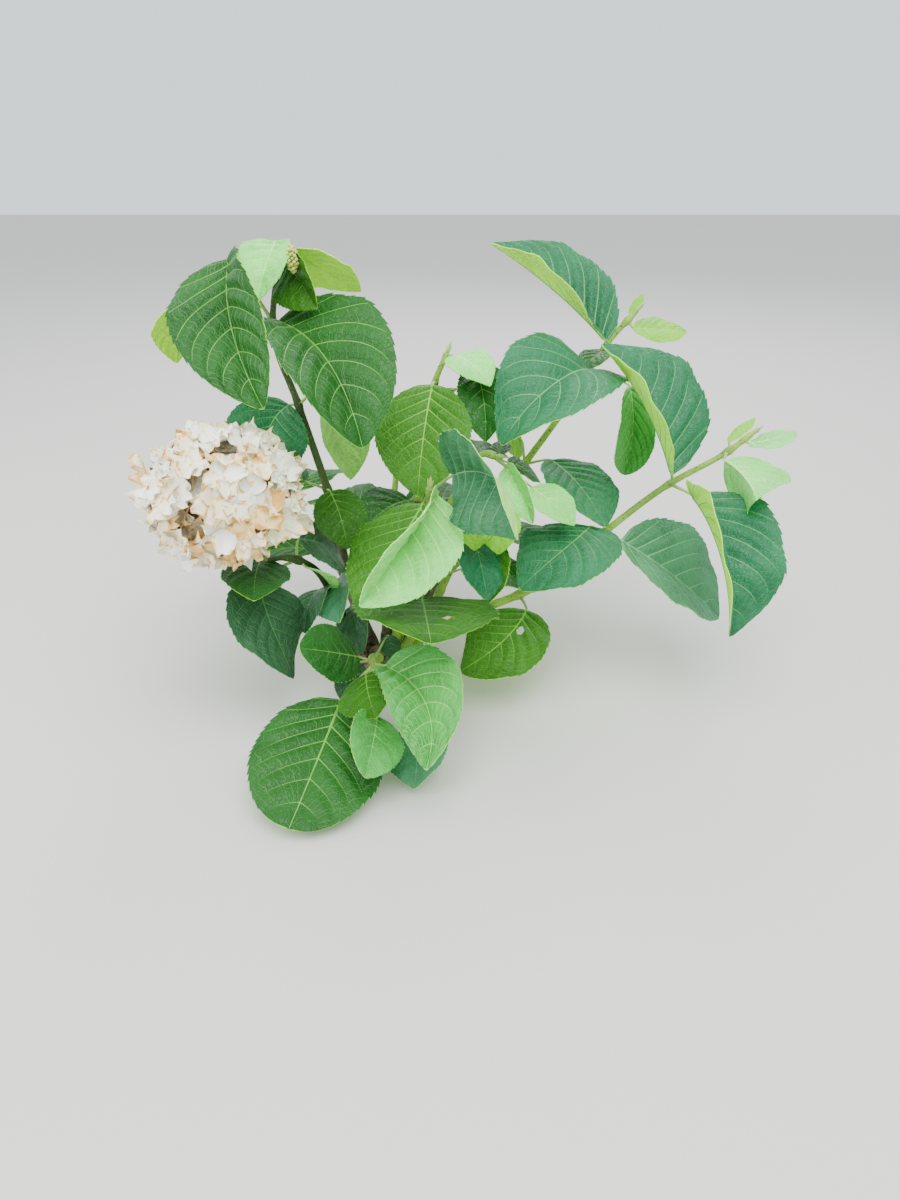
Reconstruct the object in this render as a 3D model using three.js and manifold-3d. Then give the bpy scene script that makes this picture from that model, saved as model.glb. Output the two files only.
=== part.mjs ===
// A hydrangea shrub rooted in the ground: canes from one woody crown, a leafy shoot on each, one flower head.
// Lengths are in millimetres and angles in degrees. +Z is up, and the origin is the flat cut under the crown.
import * as THREE from "three";
import Module from "manifold-3d";

const wasm = await Module();
wasm.setup();

// Driving sizes
const GAP = 0.3;
const CANE_FOOT = 5;
const SHOOT_TIP = 2.6;
const STALK_RADIUS = 2;
const CROWN_RADIUS = 40;
const CROWN_TOP = 22;
const STEPS = 40;
const LARGE_ROWS = [0, 0.1, 0.3, 0.55, 0.775, 0.925, 1];
const SMALL_ROWS = [0, 0.15, 0.5, 0.8, 1];
const BUD_LENGTH = 15;
const BUD_RADIUS = 3.6;
const BLOOM = { centre: [-127, -105, 239], radius: [80, 74, 68], lumps: 46, relief: 0.09 };

// Each shoot: the cane's path from the crown to its tip, the share of it that is bare cane, and its leaves.
// A leaf's columns: name, place along the path, stalk [length, heading, rise],
// blade [length, heading, rise, droop], set [roll, fold, swerve], half width as a share of length, tint, and
// how full its tip is, from 0 for drawn out to 1 for rounded, where it is not 0.
// A heading is counter-clockwise from +X seen from above, a rise is above level, droop is lost by the tip.
const SHOOTS = {
  "left_tall": {
    "path": [[-24, 4, 26], [-36, 5, 110], [-50, 10, 190], [-75, 15, 283], [-94, 18, 350], [-84, 20, 418]],
    "bare": 0.4,
    "leaves": [
      ["1L", 0.44, [22, 172, 18], [95, 165, 20, 70], [0, 15, 0], 0.4, "mature"],
      ["1R", 0.44, [20, -75, 15], [64, -62, -22, 55], [-10, 15, 0], 0.42, "mature"],
      ["2L", 0.66, [12, 145, -10], [90, -132, -10, 100], [20, 15, 35], 0.48, "mature"],
      ["2R", 0.66, [20, -15, 35], [100, 12, -58, 22], [25, 30, 48], 0.33, "dull"],
      ["3L", 0.86, [65, -175, 58], [170, -90, -32, 10], [-35, 45, 40], 0.34, "mature"],
      ["3R", 0.84, [30, -70, 25], [166, -45, 0, 65], [-10, 40, -15], 0.4, "mature"],
      ["3B", 0.86, [55, -170, 20], [95, 145, -10, 70], [0, 15, 0], 0.4, "bright"],
      ["4L", 0.985, [20, 165, 88], [78, -95, -20, 25], [0, 38, 0], 0.42, "young"],
      ["4B", 0.985, [20, -35, 40], [76, 25, -28, 5], [30, 5, 0], 0.4, "bright"],
      ["5R", 0.99, [10, -35, 5], [68, -60, -20, 15], [-70, 40, 5], 0.45, "mature"],
    ],
  },
  "flowering": {
    "path": [[-24, -12, 26], [-44, -26, 85], [-60, -38, 131], [-81, -59, 156], [-101, -80, 164]],
    "bare": 0.15,
    "leaves": [
      ["1", 0.86, [25, -170, 0], [74, -90, 10, 30], [5, 8, 10], 0.43, "bright"],
      ["2", 0.8, [40, -155, -20], [104, -80, -30, 45], [25, 10, 60], 0.48, "dull"],
      ["3", 0.8, [20, 80, 60], [74, 20, -10, 72], [-25, 10, 30], 0.44, "mature"],
      ["4", 0.78, [10, -25, -40], [50, 50, -25, 50], [0, 15, 0], 0.4, "young"],
      ["5", 0.45, [10, 170, 25], [66, -110, 30, 105], [-25, 15, 15], 0.34, "dull"],
      ["6", 0.36, [30, 75, 65], [72, -90, 5, 35], [-48, 25, 10], 0.44, "dull"],
      ["7", 0.2, [20, 85, 55], [64, -75, 10, 70], [-40, 30, 5], 0.34, "dull"],
    ],
  },
  "rear_right": {
    "path": [
      [22, 14, 26], [60, 32, 95], [112, 52, 160], [155, 70, 214],
      [200, 92, 272], [232, 110, 320], [264, 118, 356],
    ],
    "bare": 0.5,
    "leaves": [
      ["1R", 0.54, [30, -20, 15], [104, -55, -8, 32], [5, 15, -10], 0.41, "mature"],
      ["1L", 0.54, [25, 135, 80], [68, 120, 5, 45], [-70, 10, -20], 0.42, "mature"],
      ["2L", 0.8, [30, -84, 18], [168, -106, 32, 98], [20, 25, -65], 0.36, "mature"],
      ["2R", 0.78, [50, -10, 0], [100, -55, -65, 50], [-25, 55, -20], 0.33, "mature"],
      ["3L", 0.895, [35, -100, 15], [160, 136, 36, 8], [4, 50, 24], 0.35, "mature"],
      ["3F", 0.895, [10, -105, -35], [45, -130, 5, 50], [0, 15, 0], 0.4, "mature"],
      ["4R", 0.97, [10, -45, -50], [58, -5, 0, 8], [-20, 8, 20], 0.42, "bright"],
      ["4U", 0.965, [8, 45, 30], [32, 55, 40, 5], [0, 15, 0], 0.2, "bright"],
    ],
  },
  "right": {
    "path": [
      [26, -2, 26], [90, 0, 62], [165, 2, 98], [228, 5, 155], [285, 8, 203], [338, 10, 235], [366, 10, 258],
    ],
    "bare": 0.28,
    "leaves": [
      ["0", 0.32, [25, -75, -15], [98, -115, -22, 8], [5, 8, -60], 0.5, "mature", 0.5],
      ["1D", 0.585, [25, -55, 0], [138, -8, -28, 20], [-25, 30, 10], 0.45, "mature"],
      ["1L", 0.585, [25, -140, 30], [112, -115, 5, 50], [0, 8, -50], 0.5, "mature", 0.5],
      ["2U", 0.78, [33, -102, 34], [146, 140, 68, 35], [-5, 45, -5], 0.48, "mature"],
      ["2R", 0.78, [35, -65, 0], [156, -80, -5, 80], [20, 52, 10], 0.42, "mature"],
      ["3R", 0.93, [20, -110, -5], [84, -75, 0, 12], [-50, -45, -20], 0.46, "young"],
      ["4R", 0.98, [10, -85, -10], [46, -30, 20, 8], [-5, 8, 48], 0.43, "young"],
      ["4U", 0.94, [10, 90, 30], [44, 35, 25, 5], [10, 15, 10], 0.2, "bright"],
    ],
  },
  "centre": {
    "path": [[4, 16, 28], [22, 30, 110], [42, 42, 200], [54, 44, 290], [68, 50, 327]],
    "bare": 0.5,
    "leaves": [
      ["1L", 0.55, [20, -125, -30], [75, -130, 15, 50], [20, 15, 0], 0.4, "mature"],
      ["1R", 0.62, [20, 10, 30], [75, 10, 20, 50], [0, 15, 0], 0.4, "mature"],
      ["2F", 0.9, [25, -95, 10], [110, -105, -45, 30], [0, 15, 0], 0.45, "bright"],
      ["2B", 0.85, [10, 80, 10], [50, 80, 10, 60], [0, 15, 0], 0.4, "mature"],
      ["3R", 0.99, [10, -35, 10], [60, -60, 10, 60], [-10, 12, 20], 0.4, "young"],
      ["3D", 0.99, [30, -5, -20], [82, -70, -25, 45], [-15, 35, -20], 0.36, "mature"],
    ],
  },
  "front": {
    "path": [[10, -10, 28], [30, -28, 110], [48, -40, 180], [52, -45, 222]],
    "bare": 0.6,
    "leaves": [
      ["1", 0.99, [25, 115, -50], [126, -120, -30, 8], [0, 8, -10], 0.4, "mature"],
      ["2", 0.98, [30, -20, 40], [136, -40, 30, 75], [-85, 50, -50], 0.5, "mature"],
      ["3", 0.99, [45, -80, 15], [130, -120, -25, 8], [68, 64, -8], 0.46, "young"],
      ["4", 0.7, [55, -90, -50], [136, -85, 15, 8], [5, 15, 0], 0.5, "mature"],
    ],
  },
  "low_front": {
    "path": [[-4, -26, 24], [-6, -75, 55], [-2, -112, 72], [2, -132, 76]],
    "bare": 0.7,
    "leaves": [
      ["1", 0.9, [25, -60, 25], [144, -40, 5, 25], [-10, 48, -65], 0.34, "bright"],
      ["2", 0.9, [45, -145, -35], [144, -100, -10, 8], [10, 8, -5], 0.41, "bright", 1.0],
      ["3", 0.8, [14, -180, 20], [74, -130, 33, 8], [45, 8, -15], 0.4, "bright", 0.5],
      ["4", 1.0, [50, -85, -25], [70, -90, 0, 25], [38, 25, -10], 0.42, "mature", 0.5],
      ["5", 1.0, [10, -160, -15], [64, -85, 0, 12], [-25, 8, 15], 0.48, "mature"],
      ["6", 0.8, [72, -42, -38], [78, -85, -5, 15], [-18, 15, -10], 0.41, "young"],
      ["7", 0.75, [18, 170, -18], [46, -95, -25, 30], [0, 15, 0], 0.4, "dull"],
      ["8", 0.8, [42, 72, 8], [30, -80, -10, 40], [0, 15, 0], 0.35, "dull"],
    ],
  },
  "inner_right": {
    "path": [[14, 2, 28], [45, 10, 120], [80, 8, 205], [100, 2, 238], [116, -4, 240]],
    "bare": 0.85,
    "leaves": [
      ["1", 0.97, [20, -15, -35], [66, -60, -20, 40], [-60, 52, 0], 0.34, "mature"],
      ["2", 0.99, [48, -20, -35], [58, -45, -15, 25], [-10, 18, 10], 0.4, "young"],
      ["3", 0.99, [15, -10, -25], [46, 20, -15, 40], [-20, 8, 5], 0.36, "mature"],
      ["4", 0.97, [10, -20, 0], [26, 80, 20, 10], [0, 15, 0], 0.4, "dull"],
    ],
  },
  "inner_front": {
    "path": [[20, -12, 26], [55, -22, 90], [80, -30, 150], [95, -35, 190]],
    "bare": 0.7,
    "leaves": [
      ["1", 0.97, [15, 80, 70], [60, -90, 15, 90], [0, 15, 0], 0.4, "bright"],
      ["2", 0.97, [25, 0, 20], [55, -90, 20, 110], [0, 15, 0], 0.4, "bright"],
      ["3", 0.8, [18, 10, 60], [78, -75, -15, 50], [25, 15, 0], 0.4, "dull"],
      ["4", 0.8, [35, 0, 10], [62, -105, -45, 30], [-30, 15, 0], 0.4, "bright"],
    ],
  },
  "rear_left": {
    "path": [[-16, 18, 26], [-45, 50, 80], [-80, 85, 125], [-105, 105, 150]],
    "bare": 0.45,
    "leaves": [
      ["1L", 0.55, [20, -170, 30], [100, 190, 20, 60], [0, 15, 0], 0.4, "mature"],
      ["1R", 0.55, [20, 60, 30], [95, 60, 20, 60], [0, 15, 0], 0.4, "mature"],
      ["2L", 0.98, [20, -160, 20], [105, 200, 10, 50], [0, 15, 0], 0.4, "mature"],
      ["2R", 0.98, [20, 80, 30], [100, 80, 20, 60], [0, 15, 0], 0.4, "mature"],
      ["3L", 0.98, [15, 140, 50], [80, 140, 40, 60], [0, 15, 0], 0.4, "bright"],
    ],
  },
  "rear": {
    "path": [[0, 26, 26], [5, 60, 110], [12, 95, 190], [14, 115, 245]],
    "bare": 0.42,
    "leaves": [
      ["1L", 0.5, [25, 150, 30], [105, 140, 20, 60], [0, 15, 0], 0.4, "mature"],
      ["1R", 0.5, [25, 30, 30], [120, 30, 20, 60], [0, 15, 0], 0.4, "mature"],
      ["2L", 0.8, [25, 80, 40], [125, 80, 30, 70], [0, 15, 0], 0.4, "mature"],
      ["3L", 0.98, [15, 170, 50], [85, 170, 40, 60], [0, 15, 0], 0.4, "bright"],
      ["3R", 0.98, [20, 10, 30], [90, 10, 15, 60], [0, 15, 0], 0.4, "bright"],
    ],
  },
  "low_rear": {
    "path": [[20, 24, 26], [60, 60, 70], [105, 95, 108]],
    "bare": 0.5,
    "leaves": [
      ["1L", 0.6, [20, 100, 30], [90, 100, 20, 60], [0, 15, 0], 0.4, "mature"],
      ["1R", 0.6, [20, -20, 30], [90, -20, 20, 60], [0, 15, 0], 0.4, "mature"],
      ["2L", 0.98, [20, 110, 30], [95, 110, 20, 60], [0, 15, 0], 0.4, "mature"],
      ["2R", 0.98, [20, 0, 20], [95, 0, 10, 60], [0, 15, 0], 0.4, "mature"],
    ],
  },
};

const rad = THREE.MathUtils.degToRad;
const vec = (p) => new THREE.Vector3(...p);
const range = (count) => Array.from({ length: count }, (_, i) => i);

// The unit direction with this heading and rise.
function direction(heading, rise) {
  const level = Math.cos(rad(rise));
  const turn = rad(heading);
  return new THREE.Vector3(Math.cos(turn) * level, Math.sin(turn) * level, Math.sin(rad(rise)));
}

// A closed solid from points and triangles, each triangle counter-clockwise seen from outside.
function solid(points, triangles) {
  const mesh = new wasm.Mesh({
    numProp: 3,
    vertProperties: Float32Array.from(points.flatMap((p) => [p.x, p.y, p.z])),
    triVerts: Uint32Array.from(triangles.flat()),
  });
  return new wasm.Manifold(mesh);
}

const SMOOTH = 0.25;
const union = (solids) => solids.reduce((whole, one) => whole.add(one)).simplify(SMOOTH);

// A round limb through the centres, with a radius at each and flat ends square to its course.
function limb(centres, radii, sides, courses) {
  const points = [];
  const triangles = [];
  const last = centres.length - 1;
  let across = null;
  centres.forEach((centre, i) => {
    const chord = centres[Math.min(i + 1, last)].clone().sub(centres[Math.max(i - 1, 0)]);
    const along = (courses ? courses[i].clone() : chord).normalize();
    if (!across) across = Math.abs(along.z) < 0.9 ? new THREE.Vector3(0, 0, 1) : new THREE.Vector3(1, 0, 0);
    across = across.clone().addScaledVector(along, -across.dot(along)).normalize();
    const other = along.clone().cross(across);
    for (const k of range(sides)) {
      const turn = (2 * Math.PI * k) / sides;
      const spoke = across.clone().multiplyScalar(Math.cos(turn)).addScaledVector(other, Math.sin(turn));
      points.push(centre.clone().addScaledVector(spoke, radii[i]));
    }
  });
  for (const i of range(last))
    for (const k of range(sides)) {
      const a = i * sides + k;
      const b = i * sides + ((k + 1) % sides);
      triangles.push([a, b, b + sides], [a, b + sides, a + sides]);
    }
  for (const k of range(sides - 2)) {
    triangles.push([0, k + 2, k + 1]);
    triangles.push([last * sides, last * sides + k + 1, last * sides + k + 2]);
  }
  return solid(points, triangles);
}

// The half width of a blade at s along it, as a share of its widest: broad, and drawn out to a point, or
// rounded as full nears 1.
function outline(s, full) {
  const t = Math.min(Math.max(s, 0.0001), 0.9999);
  const swell = Math.sin(Math.PI * t ** (0.92 + 0.08 * full)) ** (0.62 - 0.17 * full);
  return swell * (1 - 0.45 * (1 - full) * t ** 6);
}

// A blade's points in rows from base to tip. Its midrib bends down in the plane of its heading, its halves
// fold up about the midrib, and the whole is rolled about the midrib.
function bladeRows(base, row, places, columns) {
  const [, , , [length, heading, rise, droop], [roll, fold, swerve], wide, , full = 0] = row;
  const midrib = [base.clone()];
  for (const k of range(STEPS)) {
    const s = (k + 0.5) / STEPS;
    const along = direction(heading + swerve * s, rise - droop * s);
    midrib.push(midrib[k].clone().addScaledVector(along, length / STEPS));
  }
  return places.map((s) => {
    const turn = rad(heading + swerve * s);
    const along = direction(heading + swerve * s, rise - droop * s);
    const level = new THREE.Vector3(Math.sin(turn), -Math.cos(turn), 0);
    const face = level.clone().cross(along);
    const side = level.multiplyScalar(Math.cos(rad(roll))).addScaledVector(face, Math.sin(rad(roll)));
    const up = side.clone().cross(along);
    const half = Math.max(wide * length * outline(s, full), 1.6);
    const bend = rad(fold) * Math.min(1, 0.7 + s) * (1 - 0.5 * s ** 4);
    return range(columns + 1).map((j) => {
      const w = (2 * j) / columns - 1;
      const lift = Math.abs(w) * half * Math.sin(bend) - (0.17 * w * w * half * half) / (wide * length);
      const point = midrib[Math.round(s * STEPS)].clone();
      return point.addScaledVector(side, w * half * Math.cos(bend)).addScaledVector(up, lift);
    });
  });
}

// A blade as a closed slab about its rows of points.
function blade(base, row, places, columns, thick) {
  const grid = bladeRows(base, row, places, columns);
  const rows = places.length - 1;
  const points = [];
  const id = (side, i, j) => (side * (rows + 1) + i) * (columns + 1) + j;
  for (const side of [0.5, -0.5])
    for (const i of range(rows + 1))
      for (const j of range(columns + 1)) {
        const down = grid[Math.min(i + 1, rows)][j].clone().sub(grid[Math.max(i - 1, 0)][j]);
        const over = grid[i][Math.min(j + 1, columns)].clone().sub(grid[i][Math.max(j - 1, 0)]);
        points.push(grid[i][j].clone().addScaledVector(over.cross(down).normalize(), side * thick));
      }
  const triangles = [];
  const quad = (a, b, c, d) => triangles.push([a, b, c], [a, c, d]);
  for (const i of range(rows))
    for (const j of range(columns)) {
      quad(id(0, i, j), id(0, i, j + 1), id(0, i + 1, j + 1), id(0, i + 1, j));
      quad(id(1, i, j), id(1, i + 1, j), id(1, i + 1, j + 1), id(1, i, j + 1));
    }
  for (const i of range(rows)) {
    quad(id(0, i + 1, 0), id(1, i + 1, 0), id(1, i, 0), id(0, i, 0));
    quad(id(0, i, columns), id(1, i, columns), id(1, i + 1, columns), id(0, i + 1, columns));
  }
  for (const j of range(columns)) {
    quad(id(0, 0, j), id(1, 0, j), id(1, 0, j + 1), id(0, 0, j + 1));
    quad(id(0, rows, j + 1), id(1, rows, j + 1), id(1, rows, j), id(0, rows, j));
  }
  return solid(points, triangles);
}

const curveOf = (path) => new THREE.CatmullRomCurve3(path.map(vec), false, "catmullrom", 0.5);

// The limb's radius at a share of the path: an even taper from the crown to the growing tip.
const taper = (share) => CANE_FOOT + (SHOOT_TIP - CANE_FOOT) * share;

// A stretch of a path as a limb, from one share of it to another.
function stretch(path, from, to, pieces, sides) {
  const curve = curveOf(path);
  const shares = range(pieces + 1).map((i) => from + ((to - from) * i) / pieces);
  const courses = shares.map((u) => curve.getTangentAt(u));
  return limb(shares.map((u) => curve.getPointAt(u)), shares.map(taper), sides, courses);
}

function cane({ path, bare }) {
  const clear = GAP / 2 / curveOf(path).getLength();
  return stretch(path, 0, bare - clear, Math.max(3, Math.round(bare * 10)), 6);
}

// One leaf: a stalk sunk into the shoot, and the blade on its end.
function leaf(path, row) {
  const [, along, [stalkLength, stalkHeading, stalkRise], [length, heading, rise]] = row;
  const root = curveOf(path).getPointAt(along);
  const out = direction(stalkHeading, stalkRise);
  const base = root.clone().addScaledVector(out, stalkLength);
  const inside = base.clone().addScaledVector(direction(heading, rise), 1.5);
  const stalk = limb([root, inside], [STALK_RADIUS, 0.8], 4);
  const thick = Math.max(1.8, length / 75);
  const large = length > 85;
  return stalk.add(blade(base, row, large ? LARGE_ROWS : SMALL_ROWS, large ? 4 : 2, thick));
}

function bud(path) {
  const curve = curveOf(path);
  const root = curve.getPointAt(1);
  const out = curve.getTangentAt(1);
  const places = [-0.2, 0.2, 0.6, 1].map((t) => root.clone().addScaledVector(out, t * BUD_LENGTH));
  return limb(places, [SHOOT_TIP * 0.8, BUD_RADIUS, BUD_RADIUS * 0.8, 0.8], 6);
}

function foliage(name, { path, bare, leaves }) {
  const clear = GAP / 2 / curveOf(path).getLength();
  const shoot = stretch(path, bare + clear, 1, Math.max(3, Math.round((1 - bare) * 9)), 6);
  const pieces = [shoot, ...leaves.map((row) => leaf(path, row))];
  if (name !== "flowering") pieces.push(bud(path));
  return union(pieces);
}

// The crown: a low mound that flares to the ground, with a stub towards each cane, cut flat at the ground.
function crown() {
  const heights = [-6, 4, 13, CROWN_TOP];
  const spread = [1.1, 0.9, 0.65, 0.3];
  const mound = limb(heights.map((z) => new THREE.Vector3(0, 0, z)), spread.map((r) => r * CROWN_RADIUS), 14);
  const stubs = Object.values(SHOOTS).map(({ path }) => {
    const curve = curveOf(path);
    const end = curve.getPointAt(0).addScaledVector(curve.getTangentAt(0), -GAP);
    const foot = new THREE.Vector3(path[0][0] * 0.6, path[0][1] * 0.6, -4);
    const neck = end.clone().addScaledVector(curve.getTangentAt(0), -8);
    return limb([foot, neck, end], [CANE_FOOT * 1.7, CANE_FOOT * 1.2, CANE_FOOT], 6);
  });
  return union([mound, ...stubs]).trimByPlane([0, 0, 1], 0);
}

// The flower head: a round of blunt lumps, one for each cluster of florets, on a short neck.
function flowerHead() {
  const { centre, radius, lumps, relief } = BLOOM;
  const golden = Math.PI * (3 - Math.sqrt(5));
  const clusters = range(lumps).map((i) => {
    const z = 1 - (2 * (i + 0.5)) / lumps;
    const level = Math.sqrt(1 - z * z);
    return new THREE.Vector3(Math.cos(golden * i) * level, Math.sin(golden * i) * level, z);
  });
  const ball = new THREE.IcosahedronGeometry(1, 6);
  const corners = new Map();
  const points = [];
  const triangles = [];
  const at = ball.getAttribute("position");
  for (const f of range(at.count / 3))
    triangles.push(
      range(3).map((k) => {
        const p = new THREE.Vector3().fromBufferAttribute(at, 3 * f + k).normalize();
        const key = p.toArray().map((x) => x.toFixed(4)).join();
        if (!corners.has(key)) {
          corners.set(key, points.length);
          const near = Math.max(...clusters.map((c) => c.dot(p)));
          const swell = 1 - relief + relief * THREE.MathUtils.smoothstep(near, 0.9, 0.985);
          points.push(new THREE.Vector3(...radius.map((r, a) => centre[a] + p.getComponent(a) * r * swell)));
        }
        return corners.get(key);
      }),
    );
  const curve = curveOf(SHOOTS.flowering.path);
  const start = curve.getPointAt(1).addScaledVector(curve.getTangentAt(1), GAP);
  const end = start.clone().lerp(vec(centre), 0.6);
  const courses = [curve.getTangentAt(1), end.clone().sub(start)];
  const neck = limb([start, end], [SHOOT_TIP, SHOOT_TIP * 2], 8, courses);
  return union([solid(points, triangles), neck]);
}

function addNode(group, name, shape, colour) {
  const made = shape.getMesh();
  const geometry = new THREE.BufferGeometry()
    .setAttribute("position", new THREE.BufferAttribute(Float32Array.from(made.vertProperties), 3))
    .setIndex(new THREE.BufferAttribute(Uint32Array.from(made.triVerts), 1));
  geometry.computeVertexNormals();
  const mesh = new THREE.Mesh(geometry, new THREE.MeshStandardMaterial({ color: colour, roughness: 0.7 }));
  mesh.name = name;
  group.add(mesh);
}

const plant = new THREE.Group();
addNode(plant, "root_crown", crown(), 0x6b5a3c);
for (const [name, shoot] of Object.entries(SHOOTS)) {
  addNode(plant, "stem_" + name, cane(shoot), 0x5f6b34);
  addNode(plant, "foliage_" + name, foliage(name, shoot), 0x3f8a3a);
}
addNode(plant, "flower_head", flowerHead(), 0xf1ead8);

export default plant;
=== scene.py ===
"""A hydrangea shrub rooted in the ground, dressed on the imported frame. Lengths are in millimetres until a
mesh is made, angles are in degrees, +Z is up and the origin is the flat cut under the crown."""

import math

import bpy
import numpy as np
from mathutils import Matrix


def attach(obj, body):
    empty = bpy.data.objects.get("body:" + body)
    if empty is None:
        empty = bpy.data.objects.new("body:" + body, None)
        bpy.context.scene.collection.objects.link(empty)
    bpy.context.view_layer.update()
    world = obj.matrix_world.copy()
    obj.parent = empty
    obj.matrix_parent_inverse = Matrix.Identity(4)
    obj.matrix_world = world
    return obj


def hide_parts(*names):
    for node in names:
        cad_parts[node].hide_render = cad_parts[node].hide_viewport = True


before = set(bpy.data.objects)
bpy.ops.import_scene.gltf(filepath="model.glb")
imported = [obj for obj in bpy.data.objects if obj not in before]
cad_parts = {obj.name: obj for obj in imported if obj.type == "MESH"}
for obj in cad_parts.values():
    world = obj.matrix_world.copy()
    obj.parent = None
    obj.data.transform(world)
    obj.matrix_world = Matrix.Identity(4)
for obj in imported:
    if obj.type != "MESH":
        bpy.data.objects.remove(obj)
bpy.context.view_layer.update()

METRE = 0.001
GOLDEN_TURN = math.pi * (3 - math.sqrt(5))
UP = np.array([0.0, 0.0, 1.0])
SPAN_STEPS = 60
SEED = 8
rng = np.random.default_rng(SEED)

# Driving sizes, as in the part's source
CANE_FOOT = 5
SHOOT_TIP = 2.6
CROWN_RADIUS = 40
CROWN_TOP = 22
BUD_LENGTH = 15
BLOOM_CENTRE = np.array([-127.0, -105.0, 239.0])
BLOOM_RADIUS = np.array([80.0, 74.0, 68.0])

# Each cane: the share of it that is bare, and its path from the crown to the tip of its leafy shoot
CANES = {
    "left_tall": (0.4, [
        [-24, 4, 26], [-36, 5, 110], [-50, 10, 190], [-75, 15, 283], [-94, 18, 350], [-84, 20, 418],
    ]),
    "flowering": (0.15, [[-24, -12, 26], [-44, -26, 85], [-60, -38, 131], [-81, -59, 156], [-101, -80, 164]]),
    "rear_right": (0.5, [
        [22, 14, 26], [60, 32, 95], [112, 52, 160], [155, 70, 214], [200, 92, 272], [232, 110, 320],
        [264, 118, 356],
    ]),
    "right": (0.28, [
        [26, -2, 26], [90, 0, 62], [165, 2, 98], [228, 5, 155], [285, 8, 203], [338, 10, 235],
        [366, 10, 258],
    ]),
    "centre": (0.5, [[4, 16, 28], [22, 30, 110], [42, 42, 200], [54, 44, 290], [68, 50, 327]]),
    "front": (0.6, [[10, -10, 28], [30, -28, 110], [48, -40, 180], [52, -45, 222]]),
    "low_front": (0.7, [[-4, -26, 24], [-6, -75, 55], [-2, -112, 72], [2, -132, 76]]),
    "inner_right": (0.85, [[14, 2, 28], [45, 10, 120], [80, 8, 205], [100, 2, 238], [116, -4, 240]]),
    "inner_front": (0.7, [[20, -12, 26], [55, -22, 90], [80, -30, 150], [95, -35, 190]]),
    "rear_left": (0.45, [[-16, 18, 26], [-45, 50, 80], [-80, 85, 125], [-105, 105, 150]]),
    "rear": (0.42, [[0, 26, 26], [5, 60, 110], [12, 95, 190], [14, 115, 245]]),
    "low_rear": (0.5, [[20, 24, 26], [60, 60, 70], [105, 95, 108]]),
}

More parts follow.
